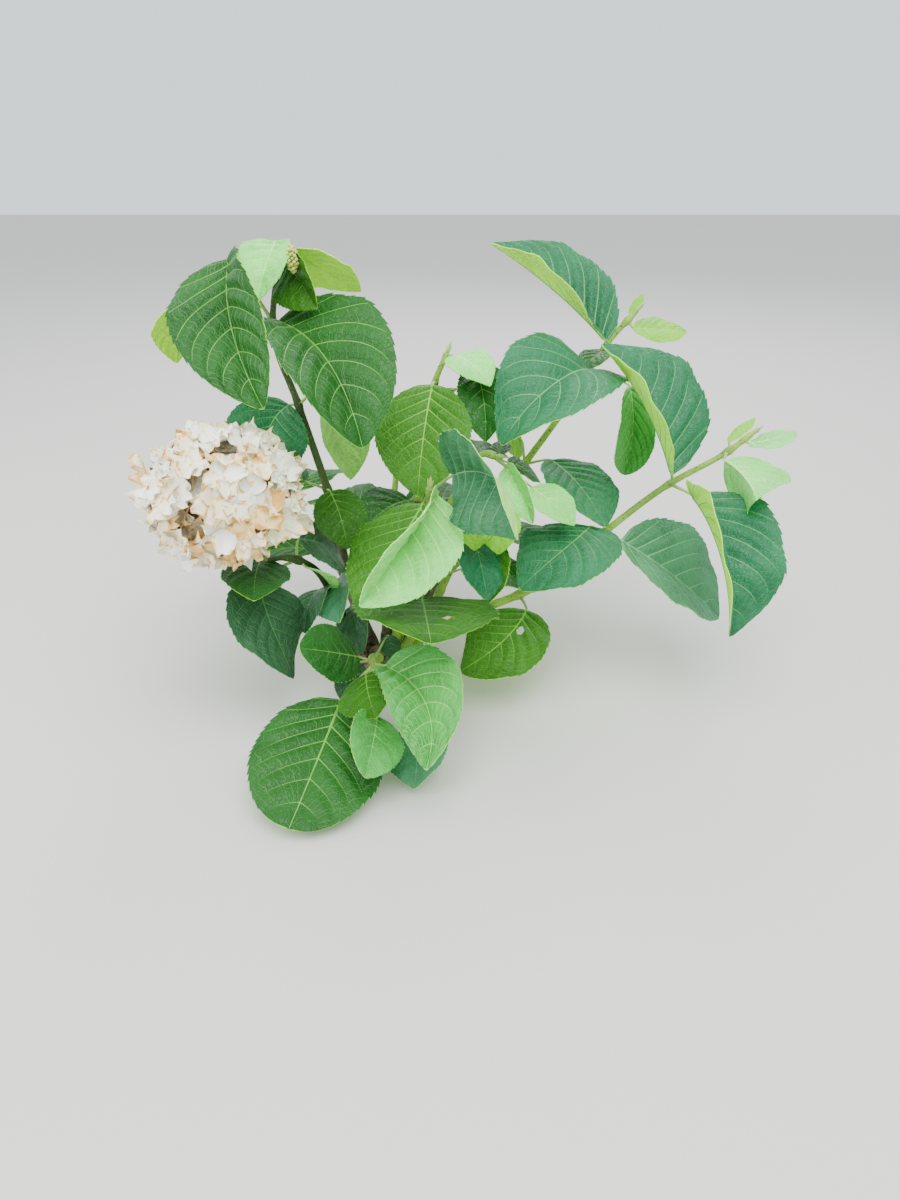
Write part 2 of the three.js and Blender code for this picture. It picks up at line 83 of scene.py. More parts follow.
# The leaves on each shoot. A leaf's columns: name, place along the path, stalk [length, heading, rise],
# blade [length, heading, rise, droop], set [roll, fold, swerve], half width as a share of its length, tint,
# and how full its tip is, from 0 for drawn out to 1 for rounded, where it is not 0.
# A heading is counter-clockwise from +X seen from above, a rise is above level, droop is lost by the tip.
LEAF_COLUMNS = ("name", "place", "stalk", "blade", "set", "wide", "tint", "full")
LEAVES = {
    "left_tall": [
        ["1L", 0.44, [22, 172, 18], [95, 165, 20, 70], [0, 15, 0], 0.4, "mature"],
        ["1R", 0.44, [20, -75, 15], [64, -62, -22, 55], [-10, 15, 0], 0.42, "deep"],
        ["2L", 0.66, [12, 145, -10], [90, -132, -10, 100], [20, 15, 35], 0.48, "cool"],
        ["2R", 0.66, [20, -15, 35], [100, 12, -58, 22], [25, 30, 48], 0.33, "fresh"],
        ["3L", 0.86, [65, -175, 58], [170, -90, -32, 10], [-35, 45, 40], 0.34, "mature"],
        ["3R", 0.84, [30, -70, 25], [166, -45, 0, 65], [-10, 40, -15], 0.4, "mature"],
        ["3B", 0.86, [55, -170, 20], [95, 145, -10, 70], [0, 15, 0], 0.4, "lime"],
        ["4L", 0.985, [20, 165, 88], [78, -97, -20, 25], [0, 36, 0], 0.37, "young"],
        ["4B", 0.985, [20, -35, 40], [76, 25, -28, 5], [30, 5, 0], 0.4, "lime"],
        ["5R", 0.99, [10, -35, 5], [68, -60, -20, 15], [-70, 40, 5], 0.45, "deep"],
    ],
    "flowering": [
        ["1", 0.86, [25, -170, 0], [74, -90, 10, 30], [5, 8, 10], 0.43, "mature"],
        ["2", 0.8, [40, -155, -20], [104, -80, -30, 45], [25, 10, 60], 0.48, "dull"],
        ["3", 0.8, [20, 80, 60], [74, 20, -10, 72], [-25, 10, 30], 0.44, "dull"],
        ["4", 0.78, [10, -25, -40], [50, 50, -25, 50], [0, 15, 0], 0.4, "young"],
        ["5", 0.45, [10, 170, 25], [66, -110, 30, 105], [-25, 15, 15], 0.34, "dull"],
        ["6", 0.36, [30, 75, 65], [72, -90, 5, 35], [-48, 25, 10], 0.44, "misty"],
        ["7", 0.2, [20, 85, 55], [64, -75, 10, 70], [-40, 30, 5], 0.34, "dull"],
    ],
    "rear_right": [
        ["1R", 0.54, [30, -20, 15], [104, -55, -8, 32], [5, 15, -10], 0.41, "cool"],
        ["1L", 0.54, [25, 135, 80], [68, 120, 5, 45], [-70, 10, -20], 0.42, "mature"],
        ["2L", 0.8, [30, -84, 18], [168, -106, 32, 98], [20, 25, -65], 0.36, "cool"],
        ["2R", 0.78, [50, -10, 0], [100, -55, -65, 50], [-25, 55, -20], 0.33, "fresh"],
        ["3L", 0.895, [35, -100, 15], [160, 136, 36, 8], [4, 50, 24], 0.35, "cool"],
        ["3F", 0.895, [10, -105, -35], [45, -130, 5, 50], [0, 15, 0], 0.4, "mature"],
        ["4R", 0.97, [10, -45, -50], [58, -5, 0, 8], [-20, 8, 20], 0.42, "lime"],
        ["4U", 0.965, [8, 45, 30], [32, 55, 40, 5], [0, 15, 0], 0.2, "lime"],
    ],
    "right": [
        ["0", 0.32, [25, -75, -15], [98, -115, -22, 8], [5, 8, -60], 0.5, "bright", 0.5],
        ["1D", 0.585, [25, -55, 0], [138, -8, -28, 20], [-25, 30, 10], 0.45, "misty"],
        ["1L", 0.585, [25, -140, 30], [112, -115, 5, 50], [0, 8, -50], 0.5, "cool", 0.5],
        ["2U", 0.78, [33, -102, 34], [146, 140, 68, 35], [-5, 45, -5], 0.48, "cool"],
        ["2R", 0.78, [35, -65, 0], [156, -80, -5, 80], [20, 52, 10], 0.42, "cool"],
        ["3R", 0.93, [20, -110, -5], [84, -75, 0, 12], [-50, -45, -20], 0.46, "young"],
        ["4R", 0.98, [10, -85, -10], [46, -30, 20, 8], [-5, 8, 48], 0.43, "young"],
        ["4U", 0.94, [10, 90, 30], [44, 35, 25, 5], [10, 15, 10], 0.2, "lime"],
    ],
    "centre": [
        ["1L", 0.55, [20, -125, -30], [75, -130, 15, 50], [20, 15, 0], 0.4, "mature"],
        ["1R", 0.62, [20, 10, 30], [75, 10, 20, 50], [0, 15, 0], 0.4, "mature"],
        ["2F", 0.9, [25, -95, 10], [110, -105, -45, 30], [0, 15, 0], 0.45, "bright"],
        ["2B", 0.85, [10, 80, 10], [50, 80, 10, 60], [0, 15, 0], 0.4, "mature"],
        ["3R", 0.99, [10, -35, 10], [60, -60, 10, 60], [-10, 12, 20], 0.4, "young"],
        ["3D", 0.99, [30, -5, -20], [82, -70, -25, 45], [-15, 35, -20], 0.36, "mature"],
    ],
    "front": [
        ["1", 0.99, [25, 115, -50], [126, -120, -30, 8], [0, 8, -10], 0.4, "bright"],
        ["2", 0.98, [30, -20, 40], [136, -40, 30, 75], [-85, 50, -50], 0.5, "misty"],
        ["3", 0.99, [45, -80, 15], [130, -120, -25, 8], [68, 64, -8], 0.46, "young"],
        ["4", 0.7, [55, -90, -50], [136, -85, 15, 8], [5, 15, 0], 0.5, "deep"],
    ],
    "low_front": [
        ["1", 0.9, [25, -60, 25], [144, -40, 5, 25], [-10, 48, -65], 0.34, "fresh"],
        ["2", 0.9, [45, -145, -35], [144, -100, -10, 8], [10, 8, -5], 0.41, "mature", 1.0],
        ["3", 0.8, [14, -180, 20], [74, -130, 33, 8], [45, 8, -15], 0.4, "mature", 0.5],
        ["4", 1.0, [50, -85, -25], [70, -90, 0, 25], [38, 25, -10], 0.42, "fresh", 0.5],
        ["5", 1.0, [10, -160, -15], [64, -85, 0, 12], [-25, 8, 15], 0.48, "deep"],
        ["6", 0.8, [72, -42, -38], [78, -85, -5, 15], [-18, 15, -10], 0.41, "misty"],
        ["7", 0.75, [18, 170, -18], [46, -95, -25, 30], [0, 15, 0], 0.4, "dull"],
        ["8", 0.8, [42, 72, 8], [30, -80, -10, 40], [0, 15, 0], 0.35, "dull"],
    ],
    "inner_right": [
        ["1", 0.97, [20, -15, -35], [66, -60, -20, 40], [-60, 52, 0], 0.34, "young"],
        ["2", 0.99, [48, -20, -35], [58, -45, -15, 25], [-10, 18, 10], 0.4, "young"],
        ["3", 0.99, [15, -10, -25], [46, 20, -15, 40], [-20, 8, 5], 0.36, "mature"],
        ["4", 0.97, [10, -20, 0], [26, 80, 20, 10], [0, 15, 0], 0.4, "dull"],
    ],
    "inner_front": [
        ["1", 0.97, [15, 80, 70], [60, -90, 15, 90], [0, 15, 0], 0.4, "lime"],
        ["2", 0.97, [25, 0, 20], [55, -90, 20, 110], [0, 15, 0], 0.4, "lime"],
        ["3", 0.8, [18, 10, 60], [78, -75, -15, 50], [25, 15, 0], 0.4, "cool"],
        ["4", 0.8, [35, 0, 10], [62, -105, -45, 30], [-30, 15, 0], 0.4, "bright"],
    ],
    "rear_left": [
        ["1L", 0.55, [20, -170, 30], [100, 190, 20, 60], [0, 15, 0], 0.4, "mature"],
        ["1R", 0.55, [20, 60, 30], [95, 60, 20, 60], [0, 15, 0], 0.4, "mature"],
        ["2L", 0.98, [20, -160, 20], [105, 200, 10, 50], [0, 15, 0], 0.4, "mature"],
        ["2R", 0.98, [20, 80, 30], [100, 80, 20, 60], [0, 15, 0], 0.4, "mature"],
        ["3L", 0.98, [15, 140, 50], [80, 140, 40, 60], [0, 15, 0], 0.4, "bright"],
    ],
    "rear": [
        ["1L", 0.5, [25, 150, 30], [105, 140, 20, 60], [0, 15, 0], 0.4, "mature"],
        ["1R", 0.5, [25, 30, 30], [120, 30, 20, 60], [0, 15, 0], 0.4, "mature"],
        ["2L", 0.8, [25, 80, 40], [125, 80, 30, 70], [0, 15, 0], 0.4, "mature"],
        ["3L", 0.98, [15, 170, 50], [85, 170, 40, 60], [0, 15, 0], 0.4, "bright"],
        ["3R", 0.98, [20, 10, 30], [90, 10, 15, 60], [0, 15, 0], 0.4, "bright"],
    ],
    "low_rear": [
        ["1L", 0.6, [20, 100, 30], [90, 100, 20, 60], [0, 15, 0], 0.4, "mature"],
        ["1R", 0.6, [20, -20, 30], [90, -20, 20, 60], [0, 15, 0], 0.4, "mature"],
        ["2L", 0.98, [20, 110, 30], [95, 110, 20, 60], [0, 15, 0], 0.4, "mature"],
        ["2R", 0.98, [20, 0, 20], [95, 0, 10, 60], [0, 15, 0], 0.4, "mature"],
    ],
}


# Shapes that the whole shrub uses


def unit(a):
    """Vectors scaled to length one."""
    return a / np.maximum(np.linalg.norm(a, axis=-1, keepdims=True), 1e-9)


def direction(heading, rise):
    """The unit direction with this heading and rise."""
    h = np.radians(np.asarray(heading, float))
    r = np.radians(np.asarray(rise, float))
    return np.stack([np.cos(h) * np.cos(r), np.sin(h) * np.cos(r), np.sin(r) + 0 * h], -1)


def spread_out(count, start=0.0):
    """Directions spread evenly in a spiral from straight up to straight down."""
    i = np.arange(count)
    z = 1 - 2 * (i + 0.5) / count
    level = np.sqrt(1 - z**2)
    turn = GOLDEN_TURN * i + start
    return np.stack([np.cos(turn) * level, np.sin(turn) * level, z], 1)


def turns(sides):
    """The angles of a ring's points."""
    return 2 * np.pi * np.arange(sides) / sides


class Course:
    """A smooth path through points, read by the share of its length."""

    def __init__(self, path):
        p = np.array(path, float)
        p = np.vstack([2 * p[0] - p[1], p, 2 * p[-1] - p[-2]])
        t = np.linspace(0, 1, SPAN_STEPS, endpoint=False)[:, None]
        spans = []
        for a, b, c, d in zip(p, p[1:], p[2:], p[3:]):
            cubic = (3 * b - a - 3 * c + d) * t**3
            spans.append(0.5 * (2 * b + (c - a) * t + (2 * a - 5 * b + 4 * c - d) * t**2 + cubic))
        self.points = np.vstack(spans + [p[-2:-1]])
        steps = np.linalg.norm(np.diff(self.points, axis=0), axis=1)
        self.reach = np.concatenate([[0], np.cumsum(steps)])
        self.length = self.reach[-1]

    def at(self, share):
        """The point at a share of the length."""
        along = np.asarray(share, float) * self.length
        return np.stack([np.interp(along, self.reach, self.points[:, k]) for k in range(3)], -1)

    def towards(self, share):
        """The unit direction of the path at a share of its length."""
        share = np.asarray(share, float)
        return unit(self.at(np.minimum(share + 0.01, 1)) - self.at(np.maximum(share - 0.01, 0)))


class Build:
    """Vertices and faces that become one mesh object."""

    def __init__(self):
        self.points = []
        self.faces = []
        self.slots = []
        self.count = 0

    def add(self, points, groups, slot=0):
        """Adds points and the groups of faces that index them, in one slot or in a slot for each face."""
        points = np.asarray(points, float).reshape(-1, 3)
        self.points.append(points)
        for faces in groups:
            self.faces += (faces + self.count).tolist()
        self.slots.append(np.broadcast_to(slot, (sum(map(len, groups)),)))
        self.count += len(points)

    def make(self, name, materials, kind, replaced, sharp=50):
        """Makes the object: in metres, riding on the root body, in place of the CAD node named."""
        mesh = bpy.data.meshes.new(name)
        mesh.from_pydata((np.vstack(self.points) * METRE).tolist(), [], self.faces)
        for material in materials:
            mesh.materials.append(material)
        mesh.polygons.foreach_set("material_index", np.concatenate(self.slots).astype(np.int32))
        mesh.polygons.foreach_set("use_smooth", np.ones(len(self.faces), bool))
        mesh.set_sharp_from_angle(angle=math.radians(sharp))
        mesh.update()
        made = bpy.data.objects.new(name, mesh)
        bpy.context.scene.collection.objects.link(made)
        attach(made, "root")
        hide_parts(replaced)


def tube_faces(count, sides):
    """The faces of a tube of rings, as quads and then triangles that close it to a last point at each end."""
    i, k = np.meshgrid(np.arange(count - 1), np.arange(sides), indexing="ij")
    a = (i * sides + k).ravel()
    b = (i * sides + (k + 1) % sides).ravel()
    quads = np.stack([a, b, b + sides, a + sides], 1)
    k = np.arange(sides)
    after = (k + 1) % sides
    far = (count - 1) * sides
    hub = np.full(sides, count * sides)
    caps = np.concatenate([np.stack([after, k, hub], 1), np.stack([far + k, far + after, hub + 1], 1)])
    return [quads, caps]


def rod(points, radii, sides, flatten=1.0, up=None):
    """A round limb's points and faces through the centres given, closed at both ends."""
    points = np.asarray(points, float)
    count = len(points)
    radii = np.broadcast_to(radii, (count,))
    along = unit(np.gradient(points, axis=0))
    across = np.empty_like(points)
    if up is None:
        up = UP if abs(along[0][2]) < 0.9 else np.array([1.0, 0.0, 0.0])
    for i in range(count):
        up = unit(up - along[i] * np.dot(up, along[i]))
        across[i] = up
    other = np.cross(along, across)
    turn = turns(sides)[None, :, None]
    spokes = flatten * np.cos(turn) * across[:, None] + np.sin(turn) * other[:, None]
    ring = points[:, None] + radii[:, None, None] * spokes
    return np.vstack([ring.reshape(-1, 3), points[:1], points[-1:]]), tube_faces(count, sides)


def add_rod(build, points, radii, sides, slot=0, flatten=1.0, up=None):
    """Adds a rod to a build."""
    build.add(*rod(points, radii, sides, flatten, up), slot)


def add_ball(build, centre, radius, slot):
    """Adds a small round bead of a few faces."""
    t = np.array([-0.92, -0.5, 0.0, 0.5, 0.92])
    line = centre + UP * (t * radius)[:, None]
    add_rod(build, line, radius * np.sqrt(1 - t**2), 6, slot)


def normals(middle):
    """The unit normal at each point of a grid."""
    return unit(np.cross(np.gradient(middle, axis=1), np.gradient(middle, axis=0)))


def add_sheet(build, middle, offset, kept, front, rear, rim):
    """Adds a thin closed sheet: a grid's kept cells, moved by the offset to the front and to the rear, and
    a rim where they end. Front, rear and rim are slots."""
    across = middle.shape[1]
    back = middle.shape[0] * across
    i, j = np.nonzero(kept)
    a = i * across + j
    b, c, d = a + 1, a + across + 1, a + across
    faces = [np.stack([a, b, c, d], 1), np.stack([a, d, c, b], 1) + back]
    solid = np.pad(kept, 1)
    for p, q, row, column in ((a, b, 0, 1), (b, c, 1, 2), (c, d, 2, 1), (d, a, 1, 0)):
        bare = ~solid[i + row, j + column]
        faces.append(np.stack([p, p + back, q + back, q], 1)[bare])
    slots = [np.broadcast_to(slot, a.shape) for slot in (front, rear)]
    slots.append(np.full(sum(map(len, faces[2:])), rim))
    build.add(np.concatenate([middle + offset, middle - offset]), faces, np.concatenate(slots))


def stalk_line(root, base, stalk_way, blade_way, count=9):
    """A stalk's bend from its root to its end, leaving one way and arriving the other."""
    span = np.linalg.norm(base - root)
    t = np.linspace(0, 1, count)[:, None]
    one = stalk_way * span * 1.1
    two = blade_way * span * 0.7
    line = (2 * t**3 - 3 * t**2 + 1) * root + (t**3 - 2 * t**2 + t) * one
    return line + (3 * t**2 - 2 * t**3) * base + (t**3 - t**2) * two


# Leaves

# A blade's grid: its pairs of side veins, the rows from one pair to the next, and the places of its columns
# from the midrib, at 0, to the margin, at 1
FINE_GRID = (8, 10, [0.06, 0.16, 0.28, 0.4, 0.52, 0.64, 0.76, 0.87, 0.95, 1])
PLAIN_GRID = (6, 8, [0.1, 0.3, 0.5, 0.7, 0.88, 1])
# A blade that is longer has the fine grid, and one that is as long or longer has cross veins
LARGE_LEAF = 85
MIDRIB_STEPS = 200
BLADE_THICK = 0.7
# A blade's half width: what its foot adds, and the least
BLADE_FOOT = 1.1
BLADE_LEAST = 0.1
# Shares of the half width: how far a half sags, and how far its margin waves
CAMBER = 0.17
RUFFLE = 0.035
# Shares of the blade's length: the relief between side veins, the groove along the midrib, a tooth's width
QUILTING = 0.017
GROOVE = 0.006
TOOTH_WIDTH = 0.045
# A tooth's depth as a share of its width, the part of it inside the outline, and its lean towards the tip
TOOTH_DEPTH = 0.4
TOOTH_INSIDE = 0.6
TOOTH_LEAN = 0.6
# The row where a margin's teeth begin
FIRST_TOOTH = 3
# Vein radii: the midrib's at the tip and what it gains by the foot, a side vein's two ends, a cross vein's
MIDRIB_TIP = 0.62
MIDRIB_GAIN = 1.05
SIDE_VEIN = (0.9, 0.45)
CROSS_VEIN = 0.38
# The first row that a side vein follows, and how far veins lie in front of the blade's middle
FIRST_VEIN = 2
VEIN_LIFT = 0.02
# Cross veins, in columns: how far one slants, how far it lies from its place, how far its knots wander
CROSS_SLANT = 0.7
CROSS_SHIFT = 0.4
CROSS_WANDER = 0.2
# Holes through leaves: the place along and across, and half the size along and across
HOLES = {
    ("front", "4"): (0.6, -0.3, 0.05, 0.1),
    ("right", "0"): (0.27, -0.17, 0.055, 0.1),
}


def outline(s, full):
    """A blade's half width at s along it, as a share of its widest: drawn out, or rounded as full nears 1."""
    t = np.clip(s, 0.0001, 0.9999)
    swell = np.sin(np.pi * t ** (0.92 + 0.08 * full)) ** (0.62 - 0.17 * full)
    return swell * (1 - 0.45 * (1 - full) * t**6)


class Leaf:
    """One leaf's surface: its midrib bends down, and its halves fold up about the midrib."""

    def __init__(self, base, row):
        self.length, self.heading, self.rise, self.droop = row["blade"]
        roll, fold, self.swerve = row["set"]
        self.roll = math.radians(roll)
        self.fold = math.radians(fold)
        self.half_width = row["wide"] * self.length
        self.full = row.get("full", 0)
        s = (np.arange(MIDRIB_STEPS) + 0.5) / MIDRIB_STEPS
        steps = self.along(s) * self.length / MIDRIB_STEPS
        self.midrib = np.vstack([base, base + np.cumsum(steps, axis=0)])
        self.phase = rng.uniform(0, 2 * np.pi, 4)

    def along(self, s):
        """The direction of the midrib at s."""
        return direction(self.heading + self.swerve * s, self.rise - self.droop * s)

    def at(self, s, w):
        """The middle surface at s along the blade and w across it, from -1 to 1."""
        turn = np.radians(self.heading + self.swerve * s)
        along = self.along(s)
        level = np.stack([np.sin(turn), -np.cos(turn), 0 * turn], -1)
        side = level * math.cos(self.roll) + np.cross(level, along) * math.sin(self.roll)
        up = np.cross(side, along)
        k = np.arange(MIDRIB_STEPS + 1) / MIDRIB_STEPS
        centre = np.stack([np.interp(s, k, self.midrib[:, axis]) for axis in range(3)], -1)
        half = self.half_width * outline(s, self.full) + BLADE_FOOT * (1 - s) ** 8 + BLADE_LEAST
        bend = self.fold * np.minimum(1, 0.7 + s) * (1 - 0.5 * s**4)
        lift = np.abs(w) * half * np.sin(bend) - CAMBER * w**2 * half**2 / self.half_width
        hand = np.where(w < 0, self.phase[0], self.phase[1])
        wave = np.sin(2 * np.pi * 2.3 * s + hand) + 0.5 * np.sin(2 * np.pi * 4.9 * s + 1.7 * hand)
        lift = lift + RUFFLE * half * np.abs(w) ** 2.5 * wave * np.minimum(1, 6 * s)
        return centre + side * (w * half * np.cos(bend))[..., None] + up * lift[..., None]


def blade_normals(middle):
    """A blade's normals. Its end rows take those of the next row."""
    normal = normals(middle)
    normal[0] = normal[1]
    normal[-1] = normal[-2]
    return normal


def cut_hole(s, w, hole):
    """Moves the points about a hole on to its edge, and returns which cells of the grid are kept."""
    middle_s, middle_w, half_s, half_w = hole
    reach = np.hypot((s - middle_s) / half_s, (w - middle_w) / half_w)
    kept = (reach[1:, 1:] + reach[:-1, 1:] + reach[1:, :-1] + reach[:-1, :-1]) / 4 > 1
    inside = np.zeros(s.shape, bool)
    for rows in (slice(1, None), slice(-1)):
        for columns in (slice(1, None), slice(-1)):
            inside[rows, columns] |= ~kept
    edge = inside & (reach > 0.2)
    s[edge] = middle_s + (s - middle_s)[edge] / reach[edge]
    w[edge] = middle_w + (w - middle_w)[edge] / reach[edge]
    return kept


def teeth(places, least):
    """How far each row of a margin stands out, in teeth of the least width or more that rise to the tip."""
    out = np.zeros(len(places))
    notch = FIRST_TOOTH
    for row in range(notch + 2, len(places)):
        width = places[row] - places[notch]
        if row - notch > 1 and width >= least:
            out[notch:row] = TOOTH_DEPTH * width * (np.linspace(0, 1, row - notch) - TOOTH_INSIDE)
            notch = row
    return out


class Blade:
    """A blade's grid of points. Its rows follow the side veins out to the toothed margin."""

    def __init__(self, leaf, hole):
        self.length = leaf.length
        self.pairs, self.between, columns = FINE_GRID if self.length > LARGE_LEAF else PLAIN_GRID
        self.hub = len(columns)
        rows = self.pairs * self.between
        self.share = np.arange(rows + 1) / rows
        start = self.share[:, None] ** 1.5
        end = 1 - (1 - self.share[:, None]) ** 1.85
        w = np.array([-place for place in columns[::-1]] + [0] + columns)
        s = start + (end - start) * (0.85 * np.abs(w) + 0.15 * np.abs(w) ** 3)
        w = np.broadcast_to(w, s.shape).copy()
        self.kept = cut_hole(s, w, hole) if hole else np.ones((rows, 2 * self.hub), bool)
        self.middle = leaf.at(s, w)
        self.quilt(s, w)
        self.serrate(self.length * end[:, 0])
        self.normal = blade_normals(self.middle)

    def quilt(self, s, w):
        """Raises the surface between the side veins and sinks it along the midrib."""
        share = self.share[:, None]
        swell = np.sin(np.pi * self.pairs * share) ** 2 - 0.5
        inner = np.clip(np.abs(w) / 0.2, 0, 1) * np.clip((1 - np.abs(w)) / 0.25, 0.15, 1)
        depth = QUILTING * (1 - 0.5 * share) * swell * inner
        depth = depth - GROOVE * np.exp(-((w / 0.1) ** 2)) * (s > 0.03)
        self.middle = self.middle + blade_normals(self.middle) * (depth * self.length)[..., None]

    def serrate(self, places):
        """Moves both margins into teeth. The places are the rows' own, along the margin."""
        tooth = teeth(places, TOOTH_WIDTH * self.length)[:, None]
        for margin, inner in ((0, 1), (-1, -2)):
            outward = unit(self.middle[:, margin] - self.middle[:, inner])
            ahead = unit(np.gradient(self.middle[:, margin], axis=0))
            self.middle[:, margin] += (outward + TOOTH_LEAN * ahead) * tooth

    def vein_row(self, pair):
        """The row that a pair of side veins follows."""
        return max(pair * self.between, FIRST_VEIN)


def add_veins(build, blade, tint):
    """Adds a blade's midrib and side veins. A side vein that would cross a hole stays short."""
    scale = blade.length / 120
    line = blade.middle + blade.normal * VEIN_LIFT
    radii = (MIDRIB_TIP + MIDRIB_GAIN * (1 - blade.share) ** 1.3) * scale**0.5
    add_rod(build, line[:, blade.hub], radii, 6, tint, 0.8, blade.normal[1, blade.hub])
    for pair in range(blade.pairs):
        row = blade.vein_row(pair)
        size = max(scale, 0.6) ** 0.4 * (1 - 0.45 * pair / blade.pairs)
        for side in (-1, 1):
            columns = blade.hub + side * np.arange(blade.hub)
            if not blade.kept[row, columns - (side > 0)].all():
                columns = columns[:3]
            radii = np.linspace(*SIDE_VEIN, len(columns)) * size
            add_rod(build, line[row, columns], radii, 6, tint, 0.85, blade.normal[row, blade.hub])


def add_cross_veins(build, blade, tint):
    """Adds the thin veins that lead from one side vein to the next, except where there is a hole."""
    front = blade.middle + blade.normal * (BLADE_THICK / 2)
    for pair in range(blade.pairs - 1):
        first = blade.vein_row(pair)
        last = blade.vein_row(pair + 1)
        rows = np.arange(first, last + 1)
        knots = np.linspace(first, last, 5 if pair else 4)
        for side in (-1, 1):
            slant = side * np.linspace(CROSS_SLANT, -CROSS_SLANT, len(knots))
            for column in blade.hub + side * np.arange(1, blade.hub - 1):
                if not blade.kept[first:last, column - 1 : column + 1].all():
                    continue
                place = column + slant + rng.uniform(-CROSS_SHIFT, CROSS_SHIFT)
                place = place + rng.uniform(-CROSS_WANDER, CROSS_WANDER, len(knots))
                place = np.interp(rows, knots, np.clip(place, 0, 2 * blade.hub))
                low = np.minimum(place.astype(int), 2 * blade.hub - 1)
                part = (place - low)[:, None]
                line = front[rows, low] * (1 - part) + front[rows, low + 1] * part
                add_rod(build, line, CROSS_VEIN, 3, tint + len(TINTS), 0.5, blade.normal[first, column])


def add_leaf(blades, veins, base, row, hole):
    """Adds a leaf's blade to one build and its veins to another."""
    tint = TINTS.index(row["tint"])
    blade = Blade(Leaf(base, row), hole)
    offset = blade.normal * (BLADE_THICK / 2)
    add_sheet(blades, blade.middle, offset, blade.kept, 2 * tint, 2 * tint + 1, 2 * tint + 1)
    add_veins(veins, blade, tint)
    if blade.length >= LARGE_LEAF:
        add_cross_veins(veins, blade, tint)


# Materials


def new_node(tree, kind, values):
    """A new shader node with values for its inputs."""
    node = tree.nodes.new(kind)
    for socket, value in values.items():
        node.inputs[socket].default_value = value
    return node


def noise(tree, place, scale, detail):
    """A soft random pattern, read at a place."""
    node = new_node(tree, "ShaderNodeTexNoise", {"Scale": scale, "Detail": detail})
    tree.links.new(place, node.inputs["Vector"])
    return node.outputs["Fac"]


def spread(tree, value, low, high):
    """A value spread out so that low to high becomes 0 to 1."""
    node = new_node(tree, "ShaderNodeMapRange", {"From Min": low, "From Max": high})
    tree.links.new(value, node.inputs["Value"])
    return node.outputs["Result"]


def mixed(tree, share, first, second):
    """The colour from the first to the second, each a tone or a node's output, at a share."""
    node = tree.nodes.new("ShaderNodeMix")
    node.data_type = "RGBA"
    tree.links.new(share, node.inputs["Factor"])
    for socket, colour in (("A", first), ("B", second)):
        if isinstance(colour, tuple):
            node.inputs[socket].default_value = (*colour, 1)
        else:
            tree.links.new(colour, node.inputs[socket])
    return node.outputs["Result"]


def patches(tree, place, scale, light, dark):
    """Two tones in soft patches."""
    ramp = tree.nodes.new("ShaderNodeValToRGB")
    for element, position, tone in zip(ramp.color_ramp.elements, (0.35, 0.65), (dark, light)):
        element.position = position
        element.color = (*tone, 1)
    tree.links.new(noise(tree, place, scale, 4), ramp.inputs["Fac"])
    return ramp.outputs["Color"]


def surface(name, light, dark, patch, roughness, **more):
    """A material with two tones in patches and fine relief. More can give the tone of a net of lines, the
    tone, scale and least of its flecks, its gloss, and the relief's grain, strength and depth in metres."""
    made = bpy.data.materials.new(name)
    made.use_nodes = True
    tree = made.node_tree
    shader = tree.nodes["Principled BSDF"]
    shader.inputs["Roughness"].default_value = roughness
    shader.inputs["Specular IOR Level"].default_value = more.get("gloss", 0.4)
    place = tree.nodes.new("ShaderNodeTexCoord").outputs["Object"]
    colour = patches(tree, place, patch, light, dark)
    relief = noise(tree, place, more.get("grain", 900), 3)
    if "net" in more:
        cells = new_node(tree, "ShaderNodeTexVoronoi", {"Scale": NET_SCALE})
        cells.feature = "DISTANCE_TO_EDGE"
        tree.links.new(place, cells.inputs["Vector"])
        clear = spread(tree, cells.outputs["Distance"], 0, 0.16)
        colour = mixed(tree, clear, more["net"], colour)
        both = tree.nodes.new("ShaderNodeMath")
        both.operation = "MULTIPLY_ADD"
        both.inputs[1].default_value = 0.35
        tree.links.new(relief, both.inputs[0])
        tree.links.new(clear, both.inputs[2])
        relief = both.outputs["Value"]
    if "fleck" in more:
        tone, scale, least = more["fleck"]
        spots = spread(tree, noise(tree, place, scale, 1), least, least + 0.05)
        colour = mixed(tree, spots, colour, tone)
    tree.links.new(colour, shader.inputs["Base Color"])
    bump = new_node(tree, "ShaderNodeBump", {"Strength": more.get("bump", 0.3)})
    bump.inputs["Distance"].default_value = more.get("deep", 0.0003)
    tree.links.new(relief, bump.inputs["Height"])
    tree.links.new(bump.outputs["Normal"], shader.inputs["Normal"])
    return made


def scaled(tone, share, lift=0.0):
    """A tone made paler or darker, each part at most 1."""
    return tuple(min(1, share * part + lift) for part in tone)


def between(one, two, share):
    """The tone at a share of the way from one to the other."""
    return tuple((1 - share) * a + share * b for a, b in zip(one, two))


NET_SCALE = 230
